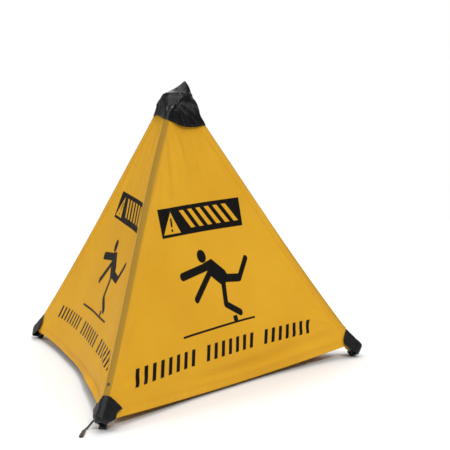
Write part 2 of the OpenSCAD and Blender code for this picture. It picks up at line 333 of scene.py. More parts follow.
def weave(p, scale, distance):
    """Bump of a plain weave: two crossing sets of threads over slow creases."""
    at = p.place()
    warp = p.wave(scale, "X", at)
    weft = p.wave(scale, "Z", at)
    threads = p.bump(p.sum("ADD", warp, weft), distance, 0.35)
    return p.bump(p.noise(26, 4, at), 0.0016, 0.22, after=threads)


def yellow_cloth(name, print_on=False, painted_rod_shade=False):
    p = Paint(name)
    patches = p.noise(9, 4)
    colour = p.mix(p.ramp(patches, 0.3, 0.7), YELLOW, YELLOW_DEEP)
    dust = p.ramp(p.noise(60, 6, rough=0.7), 0.55, 0.8, 0.0, 0.10)
    colour = p.mix(dust, colour, DUST)
    roughness = p.ramp(p.noise(45, 4), 0.3, 0.7, 0.50, 0.62)
    # Painted shade along the ridge, partly the dark rod seen through the thin cloth
    if painted_rod_shade:
        colour = p.mix(p.attribute("rod_shade"), colour, ROD_SHADE)
    if print_on:
        ink = warning_print(p)
        worn = p.ramp(p.noise(420, 3, rough=0.7), 0.60, 0.78, 1.0, 0.86)
        ink = p.sum("MULTIPLY", ink, worn)
        colour = p.mix(ink, colour, INK)
        roughness = p.sum("SUBTRACT", roughness, p.sum("MULTIPLY", ink, 0.08))
    p.set(
        Base_Color=colour, Roughness=roughness, Normal=weave(p, 420, 0.00012),
        Specular_IOR_Level=0.06,
    )
    return p.material


def black_vinyl(name, shade, low, high, crease):
    """Coated black cloth: glossy, finely creased, a little greyer where it rubs."""
    p = Paint(name)
    rub = p.ramp(p.noise(70, 5, rough=0.65), 0.55, 0.75, 0.0, 0.5)
    colour = p.mix(rub, rgb(shade, shade, shade * 1.08), rgb(shade * 2.2, shade * 2.2, shade * 2.3))
    grain = p.bump(p.noise(1400, 2), 0.00008, 0.5)
    p.set(
        Base_Color=colour, Roughness=p.ramp(p.noise(38, 4), 0.3, 0.7, low, high),
        Normal=p.bump(p.noise(110, 3), crease, 0.5, after=grain),
        Specular_IOR_Level=0.28,
    )
    return p.material


def moulded(name, colour, low, high, fleck=0.35):
    """Moulded plastic or rubber: fine texture, faint flow marks and light wear."""
    p = Paint(name)
    paler = rgb(*[c + (0.12 - c) * 0.25 for c in colour])
    wear = p.ramp(p.noise(240, 5, rough=0.7), 0.52, 0.78, 0.0, fleck)
    p.set(
        Base_Color=p.mix(wear, rgb(*colour), paler), Roughness=p.ramp(p.noise(90, 4), 0.3, 0.7, low, high),
        Normal=p.bump(p.noise(2200, 3), 0.00006, 0.5),
    )
    return p.material


def metal(name, colour, low, high):
    """Turned or drawn metal with fine marks along its length."""
    p = Paint(name)
    stretched = p.node("Mapping")
    p.feed(stretched.inputs["Vector"], p.place())
    stretched.inputs["Scale"].default_value = (1, 1, 14)
    marks = p.noise(900, 3, at=stretched.outputs[0])
    dull = p.ramp(p.noise(150, 4), 0.35, 0.75)
    p.set(
        Base_Color=p.mix(dull, rgb(*colour), rgb(*[c * 0.6 for c in colour])), Metallic=1.0,
        Roughness=p.ramp(marks, 0.3, 0.7, low, high), Normal=p.bump(marks, 0.00004, 0.4),
    )
    return p.material


def pultruded(name):
    """Glass-fibre rod: pale olive with long fibres under a clear surface."""
    p = Paint(name)
    stretched = p.node("Mapping")
    p.feed(stretched.inputs["Vector"], p.place())
    stretched.inputs["Scale"].default_value = (14, 14, 1)
    fibres = p.noise(90, 5, at=stretched.outputs[0])
    p.set(
        Base_Color=p.mix(p.ramp(fibres, 0.35, 0.7), rgb(0.17, 0.16, 0.10), rgb(0.29, 0.27, 0.18)),
        Roughness=p.ramp(p.noise(120, 3), 0.3, 0.7, 0.3, 0.45), Normal=p.bump(fibres, 0.00008, 0.5),
        Coat_Weight=0.3, Coat_Roughness=0.2,
    )
    return p.material


def braided(name):
    """Braided polyester: two crossing diagonal waves."""
    p = Paint(name)
    turned = p.node("Mapping")
    p.feed(turned.inputs["Vector"], p.place())
    turned.inputs["Rotation"].default_value = (0.6, 0.7, 0.3)
    one = p.wave(260, "X", turned.outputs[0])
    two = p.wave(260, "Y", turned.outputs[0])
    strands = p.sum("MAXIMUM", one, two)
    p.set(
        Base_Color=p.mix(strands, rgb(0.006, 0.006, 0.007), rgb(0.030, 0.030, 0.032)),
        Roughness=p.ramp(p.noise(500, 2), 0.3, 0.7, 0.5, 0.7), Normal=p.bump(strands, 0.0002, 0.8),
        Sheen_Weight=0.2,
    )
    return p.material


MATERIALS = {
    "panel": yellow_cloth("panel_cloth", print_on=True),
    "plain": yellow_cloth("plain_cloth"),
    "ridge": yellow_cloth("ridge_cloth", painted_rod_shade=True),
    "cap": black_vinyl("cap_vinyl", 0.0035, 0.18, 0.30, 0.0006),
    "boot": black_vinyl("boot_vinyl", 0.007, 0.32, 0.48, 0.0008),
    "hub": moulded("hub_plastic", (0.020, 0.022, 0.024), 0.38, 0.52),
    "knuckle": moulded("knuckle_plastic", (0.028, 0.030, 0.033), 0.34, 0.50),
    "collar": moulded("collar_plastic", (0.15, 0.16, 0.17), 0.34, 0.48, 0.2),
    "rubber": moulded("tip_rubber", (0.006, 0.006, 0.0065), 0.36, 0.55, 0.25),
    "tab": moulded("tab_plastic", (0.008, 0.008, 0.0085), 0.34, 0.50, 0.25),
    "steel": metal("zinc_steel", (0.62, 0.63, 0.65), 0.24, 0.42),
    "spring": metal("spring_steel", (0.50, 0.51, 0.54), 0.20, 0.34),
    "rivet": metal("rivet_brass", (0.10, 0.085, 0.05), 0.35, 0.55),
    "rod": pultruded("glass_fibre"),
    "cord": braided("cord_braid"),
    "thread": moulded("thread", (0.66, 0.33, 0.022), 0.55, 0.7, 0.3),
    "black_thread": moulded("black_thread", (0.020, 0.020, 0.022), 0.5, 0.7, 0.3),
}


# ---------- mesh helpers ----------


def cloth_object(name, points, faces, material, attributes=None, normals=None, sharp=radians(40)):
    """A smooth-shaded mesh object. attributes maps a name to one number or one vector for each point."""
    mesh = bpy.data.meshes.new(name)
    mesh.from_pydata([tuple(map(float, q)) for q in points], [], faces)
    mesh.validate()
    mesh.polygons.foreach_set("use_smooth", [True] * len(mesh.polygons))
    for key, values in (attributes or {}).items():
        values = np.asarray(values, np.float32)
        kind, field = ("FLOAT", "value") if values.ndim == 1 else ("FLOAT_VECTOR", "vector")
        mesh.attributes.new(key, kind, "POINT").data.foreach_set(field, values.ravel())
    mesh.materials.append(MATERIALS[material])
    if normals is not None:
        mesh.normals_split_custom_set_from_vertices([tuple(map(float, n)) for n in normals])
    else:
        mesh.set_sharp_from_angle(angle=sharp)
    made = bpy.data.objects.new(name, mesh)
    bpy.context.scene.collection.objects.link(made)
    return made


def unit(v):
    return v / np.maximum(np.linalg.norm(v, axis=-1, keepdims=True), 1e-12)


def grid_normals(grid):
    """Outward normals of a grid whose rows go down and whose columns go anticlockwise seen from above."""
    down = np.gradient(grid, axis=0)
    across = np.gradient(grid, axis=1)
    return unit(np.cross(down, across))


def grid_faces(rows, columns, first=0):
    """Quads of a grid, facing the way that grid_normals says."""
    corner = [(i * columns + j + first) for i in range(rows - 1) for j in range(columns - 1)]
    return [(a, a + columns, a + columns + 1, a + 1) for a in corner]


def shell(grid, normals, thick):
    """Points and faces of a closed thin sheet about a grid: the outer skin, the inner skin and the rim."""
    rows, columns, _ = grid.shape
    count = rows * columns
    points = np.concatenate([
        (grid + normals * thick / 2).reshape(-1, 3), (grid - normals * thick / 2).reshape(-1, 3)
    ])
    outer = grid_faces(rows, columns)
    inner = [tuple(v + count for v in face[::-1]) for face in outer]
    rim = list(range(columns)) + [i * columns + columns - 1 for i in range(1, rows)]
    rim += [(rows - 1) * columns + j for j in range(columns - 2, -1, -1)]
    rim += [i * columns for i in range(rows - 2, 0, -1)]
    edge = [(a, b, b + count, a + count) for a, b in zip(rim, rim[1:] + rim[:1])]
    return points, outer + inner + edge


def shell_object(name, grid, normals, thick, material, values=None, exact=True):
    """A thin sheet as an object, with each value of the grid on both skins and its normals kept if exact."""
    points, faces = shell(grid, normals, thick)
    both = {
        key: np.concatenate([v.reshape(-1, *v.shape[2:])] * 2) for key, v in (values or {}).items()
    }
    flat = normals.reshape(-1, 3)
    given = np.concatenate([flat, -flat]) if exact else None
    return cloth_object(name, points, faces, material, both, given)


def loft(rings, closed=True, caps=True):
    """Points and faces of a skin over rings of equal length, with a fan at each end."""
    rings = np.asarray(rings)
    count, size, _ = rings.shape
    points = [q for ring in rings for q in ring]
    faces = []
    for i in range(count - 1):
        for j in range(size if closed else size - 1):
            a, b = i * size + j, i * size + (j + 1) % size
            faces.append((a, b, b + size, a + size))
    if caps:
        for row, turn in ((0, -1), (count - 1, 1)):
            middle = len(points)
            points.append(rings[row].mean(0))
            ends = [row * size + j for j in range(size)][::turn]
            faces += [(a, b, middle) for a, b in zip(ends, ends[1:] + ends[:1])]
    return points, faces


STITCH_L, STITCH_PITCH, THREAD_R = 0.0030, 0.0044, 0.00032


def stitches(line, normals):
    """Points and faces of a row of thread stitches along a line, half sunk in the cloth."""
    steps = np.linalg.norm(np.diff(line, axis=0), axis=1)
    reach = np.concatenate([[0], np.cumsum(steps)])
    points, faces = [], []
    for start in np.arange(STITCH_PITCH / 2, reach[-1] - STITCH_PITCH, STITCH_PITCH):
        at = start + STITCH_L * np.array([0.0, 0.2, 0.8, 1.0])
        q = np.stack([np.interp(at, reach, line[:, i]) for i in range(3)], axis=1)
        n = unit(np.array([np.interp(start, reach, normals[:, i]) for i in range(3)]))
        along = unit(q[3] - q[0])
        side = np.cross(along, n)
        first = len(points)
        points.append(q[0])
        for c in q[1:3]:
            points += [c + THREAD_R * d for d in (side, n, -side, -n)]
        points.append(q[3])
        for k in range(4):
            a, b = first + 1 + k, first + 1 + (k + 1) % 4
            faces += [(first, b, a), (a, b, b + 4, a + 4), (a + 4, b + 4, first + 9)]
    return points, faces


def joined(parts):
    """Several (points, faces) as one."""
    points, faces = [], []
    for more, quads in parts:
        first = len(points)
        points += list(more)
        faces += [tuple(v + first for v in f) for f in quads]
    return points, faces


# ---------- places on the stand ----------


def leg_axes(k):
    """Directions at leg k: level outwards, level sideways, down the rod, and square out from the rod."""
    out = np.array([cos(LEG_AZ[k]), sin(LEG_AZ[k]), 0.0])
    side = np.array([-sin(LEG_AZ[k]), cos(LEG_AZ[k]), 0.0])
    return out, side, out * sin(LEAN) - UP * cos(LEAN), out * cos(LEAN) + UP * sin(LEAN)


def on_leg(k, s, off=0.0, side=0.0):
    """A point s down rod k from its hinge, off out from its axis and side to its side, or arrays of them."""
    out, across, down, square = leg_axes(k)
    s, off, side = (np.asarray(v, float)[..., None] for v in (s, off, side))
    return out * HINGE_R + UP * HINGE_Z + down * s + square * off + across * side


RIDGE_RISE, RIDGE_RISE_S = 0.0105, 0.48


def ridge_off(s):
    """How far the cloth's ridge stands off the rod's axis: almost nothing at the top, more at the corner."""
    return RIDGE_RISE * (np.clip(s, 0, None) / RIDGE_RISE_S) ** 3


# How far the front ridge slips to each side of its rod: first to face ab, then to face ca
SLIP_HIGH, SLIP_LOW = 0.0020, 0.0034


def ridge_side(k, s):
    """How far the ridge stands to the side of the rod. Only the front one has slipped."""
    sway = SLIP_LOW * smooth_step(s, 0.22, 0.48) - SLIP_HIGH * smooth_step(s, 0.05, 0.16)
    return sway if LEGS[k] == "a" else np.zeros_like(sway)


def nose_radius(s):
    """Radius of the cloth's round over the rod: it fits close under the cap and is looser below it."""
    return NOSE_R + NOSE_GROWTH * smooth_step(s, 0.05, 0.16)


def face_normal(name):
    az = LEG_AZ[FACES[name]["legs"][0]] + pi / 3
    level = np.array([cos(az), sin(az), 0.0])
    return level * cos(FACE_TILT) + UP * sin(FACE_TILT), level


def edge_line(name, end, v):
    """The face's side edge, where the cloth leaves the round ridge over leg end (0 or 1)."""
    k = FACES[name]["legs"][end]
    s = TOP_S + (FACES[name]["hem_s"][end] - TOP_S) * v
    return on_leg(k, s, ridge_off(s), ridge_side(k, s)) + nose_radius(s)[..., None] * face_normal(name)[0]


def smooth_step(x, low, high):
    x = np.clip((x - low) / (high - low), 0, 1)
    return x * x * (3 - 2 * x)


# Creases of a face: x and w of both ends, from the face's middle and the apex, then height and half width
CREASES = [
    (-0.290, 0.446, -0.212, 0.412, 0.0021, 0.0050), (-0.286, 0.458, -0.190, 0.432, 0.0015, 0.0055),
    (-0.262, 0.430, -0.190, 0.360, -0.0013, 0.0070), (0.250, 0.447, -0.080, 0.452, -0.0029, 0.0065),
    (0.240, 0.459, -0.020, 0.466, 0.0024, 0.0060), (0.262, 0.440, 0.150, 0.398, 0.0018, 0.0055),
    (0.258, 0.430, 0.165, 0.372, -0.0015, 0.0060), (0.262, 0.446, 0.120, 0.424, 0.0013, 0.0050),
    (-0.028, 0.080, -0.022, 0.150, 0.0018, 0.0055), (-0.044, 0.082, -0.062, 0.186, -0.0015, 0.0065),
    (0.006, 0.078, 0.012, 0.170, -0.0013, 0.0070), (-0.056, 0.110, -0.094, 0.240, 0.0015, 0.0070),
    (0.030, 0.085, 0.070, 0.175, 0.0013, 0.0060), (-0.150, 0.270, -0.098, 0.288, -0.0018, 0.0110),
    (0.110, 0.4565, -0.115, 0.4530, -0.0032, 0.0052),
]


def crease(x, w, ends, height, half_width):
    """Height of one straight crease that fades out at both ends."""
    (ax, aw), (bx, bw) = ends
    long = np.hypot(bx - ax, bw - aw)
    along = ((x - ax) * (bx - ax) + (w - aw) * (bw - aw)) / long**2
    off = ((x - ax) * (bw - aw) - (w - aw) * (bx - ax)) / long
    fade = smooth_step(along, -0.10, 0.25) * (1 - smooth_step(along, 0.65, 1.10))
    return height * fade * np.exp(-((off / half_width) ** 2))


# How the three faces' creases differ: mirrored, slid along the face, and their share of the full height
CREASE_MIRROR = (1, -1, 1)
CREASE_SLIDE = (1.0, 1.01, 1.04)
CREASE_DEPTH = (1.0, 0.5, 0.9)
# Where the cloth starts down from the apex, and how far it goes on
CLOTH_W, CLOTH_LENGTH = 0.048, 0.427


def ripple(u, v, name):
    """Height of the cloth's folds: straight creases from the corners and the cap over slow waves."""
    k = list(FACES).index(name)
    w = CLOTH_W + CLOTH_LENGTH * v
    half = w * FOOT_R * sin(pi / 3) * cos(FACE_TILT) / APEX_Z
    x = (2 * u - 1) * half
    height = np.zeros_like(u)
    mirror, slide, depth = CREASE_MIRROR[k], CREASE_SLIDE[k], CREASE_DEPTH[k]
    for ax, aw, bx, bw, rise, wide in CREASES:
        ends = ((ax * mirror, aw * slide), (bx * mirror, bw * slide))
        height += crease(x, w, ends, rise * depth, wide)
    slow = u * tau * 1.35 + 0.8 * np.sin(v * 3.1 + k) + 1.7 * k
    height += 0.0011 * np.sin(slow) * smooth_step(v, 0.05, 0.5)
    height += 0.0005 * np.sin(u * tau * 3.6 - 2.2 * v + 0.6 * k) * smooth_step(v, 0.3, 1.0)
    height += 0.0004 * np.sin(x * 160 + 2.0 * k) * np.exp(-((v / 0.3) ** 2))
    held = smooth_step(u, 0.0, 0.07) * smooth_step(1 - u, 0.0, 0.07)
    return height * held


def panel_surface(name, u, v):
    """Points of a face: u from leg to leg, v from under the cap to the hem."""
    face = FACES[name]
    normal, level = face_normal(name)
    low, high = face["hem_mid_z"], HINGE_Z - TOP_S * cos(LEAN)
    z = high + (low - high) * v
    out = (APEX_Z - z) * FOOT_R / APEX_Z * 0.5 + 0.0024 - HEM_BOW * ((APEX_Z - z) / APEX_Z) ** BOW_POWER
    middle = level * out[..., None] + UP * z[..., None]
    left, right = edge_line(name, 0, v), edge_line(name, 1, v)
    u3 = u[..., None]
    flat = (1 - u3) * left + u3 * right + 4 * u3 * (1 - u3) * (middle - (left + right) / 2)
    return flat + normal * ripple(u, v, name)[..., None]


def face_plane(name, grid):
    """x to the right and w down from the apex, in the plane of the face."""
    _, level = face_normal(name)
    right = np.cross(UP, level)
    shift, drop, stretch, *tilts = FACES[name]["print"]
    x = (grid @ right - shift) / stretch
    w = (APEX_Z - grid[..., 2]) / cos(FACE_TILT) - drop
    w -= np.interp(w, PRINT_TILT_W, tilts) * (grid @ right)
    return np.stack([x, w, np.zeros_like(x)], axis=-1)


# The angle, seen down a leg, between the way straight in from the rod and each face beside it; the boots'
# lobes lie at it
WING_A = atan(sin(pi / 6) / (cos(pi / 6) * cos(LEAN)))


def gather(piece, k):
    """Rides on leg k, with a mesh of its own."""
    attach(piece, "leg_" + LEGS[k])
    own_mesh(piece)


# ---------- cloth faces with their hems ----------

PANEL_ROWS, HALF_COLUMNS = 121, 45


def even_grid(rows, columns, u0=0.0, u1=1.0, v0=0.0, v1=1.0):
    v, u = np.meshgrid(np.linspace(v0, v1, rows), np.linspace(u0, u1, columns), indexing="ij")
    return u, v


def make_face(name):
    """Both halves of a face, with a hem and its stitches on each."""
    u, v = even_grid(PANEL_ROWS, 2 * HALF_COLUMNS - 1)
    grid = panel_surface(name, u, v)
    normals = grid_normals(grid)
    plane = face_plane(name, grid)
    hem_share = HEM_H / np.linalg.norm(grid[-1, HALF_COLUMNS] - grid[0, HALF_COLUMNS])
    for end, k in enumerate(FACES[name]["legs"]):
        part = slice(0, HALF_COLUMNS) if end == 0 else slice(HALF_COLUMNS - 1, None)
        tag = f"{name}_{LEGS[k]}"
        values = {"print_xy": plane[:, part]}
        half = shell_object("panel_" + tag, grid[:, part], normals[:, part], CLOTH_T, "panel", values)
        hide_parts("panel_" + name)
        gather(half, k)
        hem, thread = make_hem(name, tag, u[0, part], hem_share)
        gather(hem, k)
        gather(thread, k)


def make_hem(name, tag, across, hem_share):
    """The turned hem: a flat fold of cloth round the lower edge, with one row of stitches."""
    u, v = even_grid(7, len(across), across[0], across[-1], 1 - hem_share, 1.0)
    grid = panel_surface(name, u, v)
    normals = grid_normals(grid)
    lift = CLOTH_T * 1.1
    outer = grid + normals * lift
    inner = grid - normals * lift
    below = unit(grid[-1] - grid[-2])
    turn = [grid[-1] + lift * (below * sin(a) + normals[-1] * cos(a)) for a in np.linspace(0, pi, 7)[1:-1]]
    wrap = np.concatenate([outer, np.array(turn), inner[::-1]])
    wrap_normals = grid_normals(wrap)
    hem = shell_object("hem_" + tag, wrap, wrap_normals, CLOTH_T, "plain", exact=False)
    row = outer[1] + normals[1] * CLOTH_T / 2
    points, faces = stitches(row, normals[1])
    thread = cloth_object("hem_stitch_" + tag, points, faces, "thread")
    return hem, thread


# ---------- ridges, with the rods' pockets ----------

RIDGE_ROWS = 131
FLANGE_COLUMNS = 7
NOSE_COLUMNS = 13


def faces_beside(k):
    """The faces on the right and on the left of leg k, each with the end of it that is at this leg."""
    right = next(n for n, f in FACES.items() if f["legs"][1] == k)
    left = next(n for n, f in FACES.items() if f["legs"][0] == k)
    return (right, 1), (left, 0)


def flange(name, end, rows, wide, lift):
    """A strip of the face beside a ridge, wide across, lifted off the cloth, from the ridge outwards."""
    v = np.linspace(0, 1, rows)
    long = np.linalg.norm(edge_line(name, 1, v) - edge_line(name, 0, v), axis=1)
    share = np.linspace(0, 1, FLANGE_COLUMNS)[None, :] * (wide / long)[:, None]
    u = share if end == 0 else 1 - share
    v2 = np.repeat(v[:, None], FLANGE_COLUMNS, axis=1)
    return panel_surface(name, u, v2) + face_normal(name)[0] * lift


def ridge_arc(k, s, lift, columns):
    """The round nose of the ridge over leg k, from its right-hand face to its left, lifted off the cloth."""
    (right, _), (left, _) = faces_beside(k)
    start, end = face_normal(right)[0], face_normal(left)[0]
    wide = np.arccos(np.clip(start @ end, -1, 1))
    centre = on_leg(k, s, ridge_off(s), ridge_side(k, s))
    turn = np.linspace(0, 1, columns)
    ray = np.array([(sin((1 - t) * wide) * start + sin(t * wide) * end) / sin(wide) for t in turn])
    return centre[:, None, :] + (nose_radius(s) + lift)[:, None, None] * ray[None]


# The dark stripe over a rod, painted shade of the ridge and partly the rod seen through the thin cloth:
# its strength, where it starts on one side, and where it fades out on the other
STRIPE, STRIPE_FADE = 0.88, (0.0008, 0.0095)
FAINT_STRIPE, FAINT_FADE = 0.45, (0.0030, 0.0080)
FAINT_WIDENS = 0.0110
STRIPE_START = (-0.0085, -0.0050)


def rod_shade(k, across, s):
    """Painted shade over the rod, partly the rod seen through the cloth. Ridge b's stripe is fainter, and
    widens down the rod.
    """
    if LEGS[k] == "b":
        fade = FAINT_FADE[1] + FAINT_WIDENS * smooth_step(s, 0.22, 0.36)
        shown = smooth_step(-across, *STRIPE_START) * (1 - smooth_step(-across, FAINT_FADE[0], fade))
        return FAINT_STRIPE * shown
    return STRIPE * smooth_step(across, *STRIPE_START) * (1 - smooth_step(across, *STRIPE_FADE))


def make_ridge(k):
    """The ridge over rod k: cloth sewn down on both faces, the rod's pocket inside it, and its stitches."""
    (right, _), (left, _) = faces_beside(k)
    lift = CLOTH_T
    wing_r = flange(right, 1, RIDGE_ROWS, FLANGE_W, lift)[:, ::-1]
    wing_l = flange(left, 0, RIDGE_ROWS, FLANGE_W, lift)
    v = np.linspace(0, 1, RIDGE_ROWS)
    s_right = TOP_S + (FACES[right]["hem_s"][1] - TOP_S) * v
    s_left = TOP_S + (FACES[left]["hem_s"][0] - TOP_S) * v
    s = (s_right + s_left) / 2
    nose = ridge_arc(k, s, lift, NOSE_COLUMNS)
    nose[:, 0], nose[:, -1] = wing_r[:, -1], wing_l[:, 0]
    grid = np.concatenate([wing_r[:, :-1], nose, wing_l[:, 1:]], axis=1)
    normals = grid_normals(grid)
    columns = grid.shape[1]
    steps = np.linalg.norm(np.diff(grid, axis=1), axis=2)
    across = np.concatenate([np.zeros((RIDGE_ROWS, 1)), np.cumsum(steps, axis=1)], axis=1)
    across -= across[:, columns // 2][:, None]
    outside = shell(grid, normals, CLOTH_T)
    pocket_grid = pocket_strip(k, s, grid[:, 1], grid[:, -2], normals[:, 1], normals[:, -2])
    pocket = shell(pocket_grid, grid_normals(pocket_grid), CLOTH_T)
    points, faces = joined([outside, pocket])
    # Painted shade of the rod's stripe on both skins of the ridge, none on the pocket
    shade = rod_shade(k, across, s[:, None]).ravel()
    shade = np.concatenate([shade, shade, np.zeros(len(pocket[0]))])
    ridge = cloth_object("ridge_" + LEGS[k], points, faces, "ridge", {"rod_shade": shade})
    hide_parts("sleeve_" + LEGS[k])
    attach(ridge, "leg_" + LEGS[k])
    rows = []
    for column in (1, 3, columns - 4, columns - 2):
        line = grid[3:-8, column] + normals[3:-8, column] * CLOTH_T / 2
        rows.append(stitches(line, normals[3:-8, column]))
    points, faces = joined(rows)
    thread = cloth_object("ridge_stitch_" + LEGS[k], points, faces, "thread")
    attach(thread, "leg_" + LEGS[k])


POCKET_GAP = 0.0009


def pocket_strip(k, s, right, left, right_normal, left_normal):
    """The strip behind the rod that closes its pocket, from one flange round the rod to the other."""
    under = 3 * CLOTH_T
    radius = ROD_R + POCKET_GAP
    start, end = right - right_normal * under, left - left_normal * under
    rounds = []
    for a in np.linspace(radians(-115), radians(115), 9):
        rounds.append(on_leg(k, s, -radius * cos(a), radius * sin(a)))
    rounds = np.array(rounds)
    path = [start, (start + rounds[0]) / 2, *rounds, (rounds[-1] + end) / 2, end]
    return np.stack(path, axis=1)[:, ::-1]


# ---------- cap ----------

# Height, sideways shift, and the size and rounding of the cap's three-cornered section there
CAP_SECTIONS = [
    (0.3800, 0.0000, 0.0542, 0.0061), (0.3950, 0.0003, 0.0431, 0.0064), (0.4050, 0.0010, 0.0352, 0.0074),
    (0.4150, 0.0025, 0.0270, 0.0108), (0.4230, 0.0035, 0.0140, 0.0182), (0.4275, 0.0036, 0.0078, 0.0210),
    (0.4310, 0.0038, 0.0040, 0.0214), (0.4335, 0.0044, 0.0024, 0.0212), (0.4362, 0.0056, 0.0006, 0.0214),
    (0.4390, 0.0078, 0.0002, 0.0178), (0.4440, 0.0118, 0.0001, 0.0126), (0.4500, 0.0148, 0.0001, 0.0068),
    (0.4550, 0.0160, 0.0001, 0.0024), (0.4570, 0.0162, 0.0001, 0.0005),
]
# Height of the cap's lower seam at every 30 degrees, from the middle of face ca round past leg a
SEAM_Z = [0.4015, 0.3988, 0.3927, 0.3850, 0.3838, 0.3852, 0.3905, 0.3960, 0.4000, 0.4020, 0.4030, 0.4030]
SEAM_START, SEAM_STEP = -150, 30
CROWN_Z = HINGE_Z - 0.004
CAP_T = 0.0008
CAP_ROWS, SKIRT_ROWS, CAP_SECTOR = 96, 56, 64
CREASE_R = 0.024
# Folds of the cap, as headings and heights along each, then the height and half width of the fold
CAP_FOLDS = [
    ([(-44, 0.4410), (-47, 0.4345), (-58, 0.4290), (-70, 0.4230), (-69, 0.4115), (-61, 0.4045),
      (-55, 0.3975), (-50, 0.3860)], 0.0015, 0.0022),
    ([(-61, 0.4150), (-45, 0.4105), (-26, 0.4055), (-11, 0.4000), (2, 0.3920)], 0.0013, 0.0024),
    ([(-85, 0.4080), (-87, 0.4030), (-89, 0.3950)], 0.0011, 0.0017),
    ([(-85, 0.4080), (-80, 0.4005), (-73, 0.3880)], 0.0011, 0.0017),
    ([(-80, 0.4160), (-76, 0.4095)], 0.0008, 0.0019),
    ([(-111, 0.4450), (-72, 0.4395)], 0.0009, 0.0027),
    ([(-40, 0.3990), (-32, 0.3850)], 0.0007, 0.0020),
    ([(-20, 0.4300), (-6, 0.4180), (14, 0.4060), (24, 0.3960)], 0.0008, 0.0031),
    ([(48, 0.4360), (55, 0.4220), (52, 0.4090), (60, 0.3970)], 0.0014, 0.0024),
    ([(84, 0.4300), (96, 0.4160), (90, 0.4020)], 0.0013, 0.0026),
    ([(100, 0.4250), (116, 0.4130), (122, 0.4040)], 0.0011, 0.0020),
    ([(134, 0.4380), (142, 0.4200), (139, 0.4050)], 0.0014, 0.0022),
    ([(165, 0.4320), (176, 0.4160), (171, 0.4050)], 0.0013, 0.0026),
    ([(-158, 0.4340), (-150, 0.4200), (-155, 0.4040)], 0.0010, 0.0024),
    ([(-132, 0.4280), (-124, 0.4150), (-128, 0.4020)], 0.0009, 0.0022),
]


def section_radius(heading, size, rounding):
    """Distance from the middle to a three-cornered outline with round corners at the legs."""
    from_face = (heading - radians(-30) + pi / 3) % (2 * pi / 3) - pi / 3
    flat = (size / 2 + rounding) / np.cos(from_face)
    from_leg = pi / 3 - np.abs(from_face)
    inside = np.clip(rounding**2 - (size * np.sin(from_leg)) ** 2, 0, None)
    corner = size * np.cos(from_leg) + np.sqrt(inside)
    on_flat = np.abs((size / 2 + rounding) * np.tan(from_face)) <= size * sin(pi / 3)
    return np.where(on_flat, flat, corner)


def smooth_table(x, xs, ys):
    """A smooth curve through a table's points, without overshoot at the ends."""
    slope = np.gradient(ys, xs)
    i = np.clip(np.searchsorted(xs, x, side="right") - 1, 0, len(xs) - 2)
    h = xs[i + 1] - xs[i]
    t = np.clip((x - xs[i]) / h, 0, 1)
    a, b = ys[i], ys[i + 1]
    return (
        a * (2 * t**3 - 3 * t**2 + 1) + b * (3 * t**2 - 2 * t**3)
        + slope[i] * h * (t**3 - 2 * t**2 + t) + slope[i + 1] * h * (t**3 - t**2)
    )


def seam_height(heading):
    knots = np.radians(SEAM_START + SEAM_STEP * np.arange(-2, len(SEAM_Z) + 3.0))
    heights = np.array([SEAM_Z[i % len(SEAM_Z)] for i in range(-2, len(SEAM_Z) + 3)])
    first = radians(SEAM_START)
    return smooth_table((heading - first) % tau + first, knots, heights)


def cap_creases(heading, z):
    """Height of the cap's folds, each a soft line between places on the cap."""
    total = np.zeros_like(z)
    for places, height, half_width in CAP_FOLDS:
        nearest = np.full_like(z, np.inf)
        for (a0, z0), (a1, z1) in zip(places, places[1:]):
            middle = radians((a0 + a1) / 2)
            x = ((heading - middle + pi) % tau - pi) * CREASE_R
            x0, x1 = (radians(a0) - middle) * CREASE_R, (radians(a1) - middle) * CREASE_R
            long = (x1 - x0) ** 2 + (z1 - z0) ** 2
            share = np.clip(((x - x0) * (x1 - x0) + (z - z0) * (z1 - z0)) / long, 0, 1)
            away = np.hypot(x - x0 - share * (x1 - x0), z - z0 - share * (z1 - z0))
            nearest = np.minimum(nearest, away)
        total = np.maximum(total, height * np.exp(-((nearest / half_width) ** 2)))
    return total


def cap_surface(heading, z):
    """Points of the cap at a heading round the axis and a height."""
    table = np.array(CAP_SECTIONS)
    shift, size, rounding = (smooth_table(z, table[:, 0], table[:, i]) for i in (1, 2, 3))
    size = np.maximum(size, 1e-4)
    radius = section_radius(heading, size, np.maximum(rounding, 4e-4))
    slack = 0.0006 * np.sin(5 * heading + 60 * z) + 0.0004 * np.sin(9 * heading - 90 * z)
    fade = smooth_step(z, 0.398, 0.412) * (1 - smooth_step(z, 0.444, 0.4565))
    radius = radius + cap_creases(heading, z) + np.maximum(slack, 0) * fade
    x = radius * np.cos(heading) + shift
    y = radius * np.sin(heading) + shift * 0.12
    return np.stack([x, y, z], axis=-1)


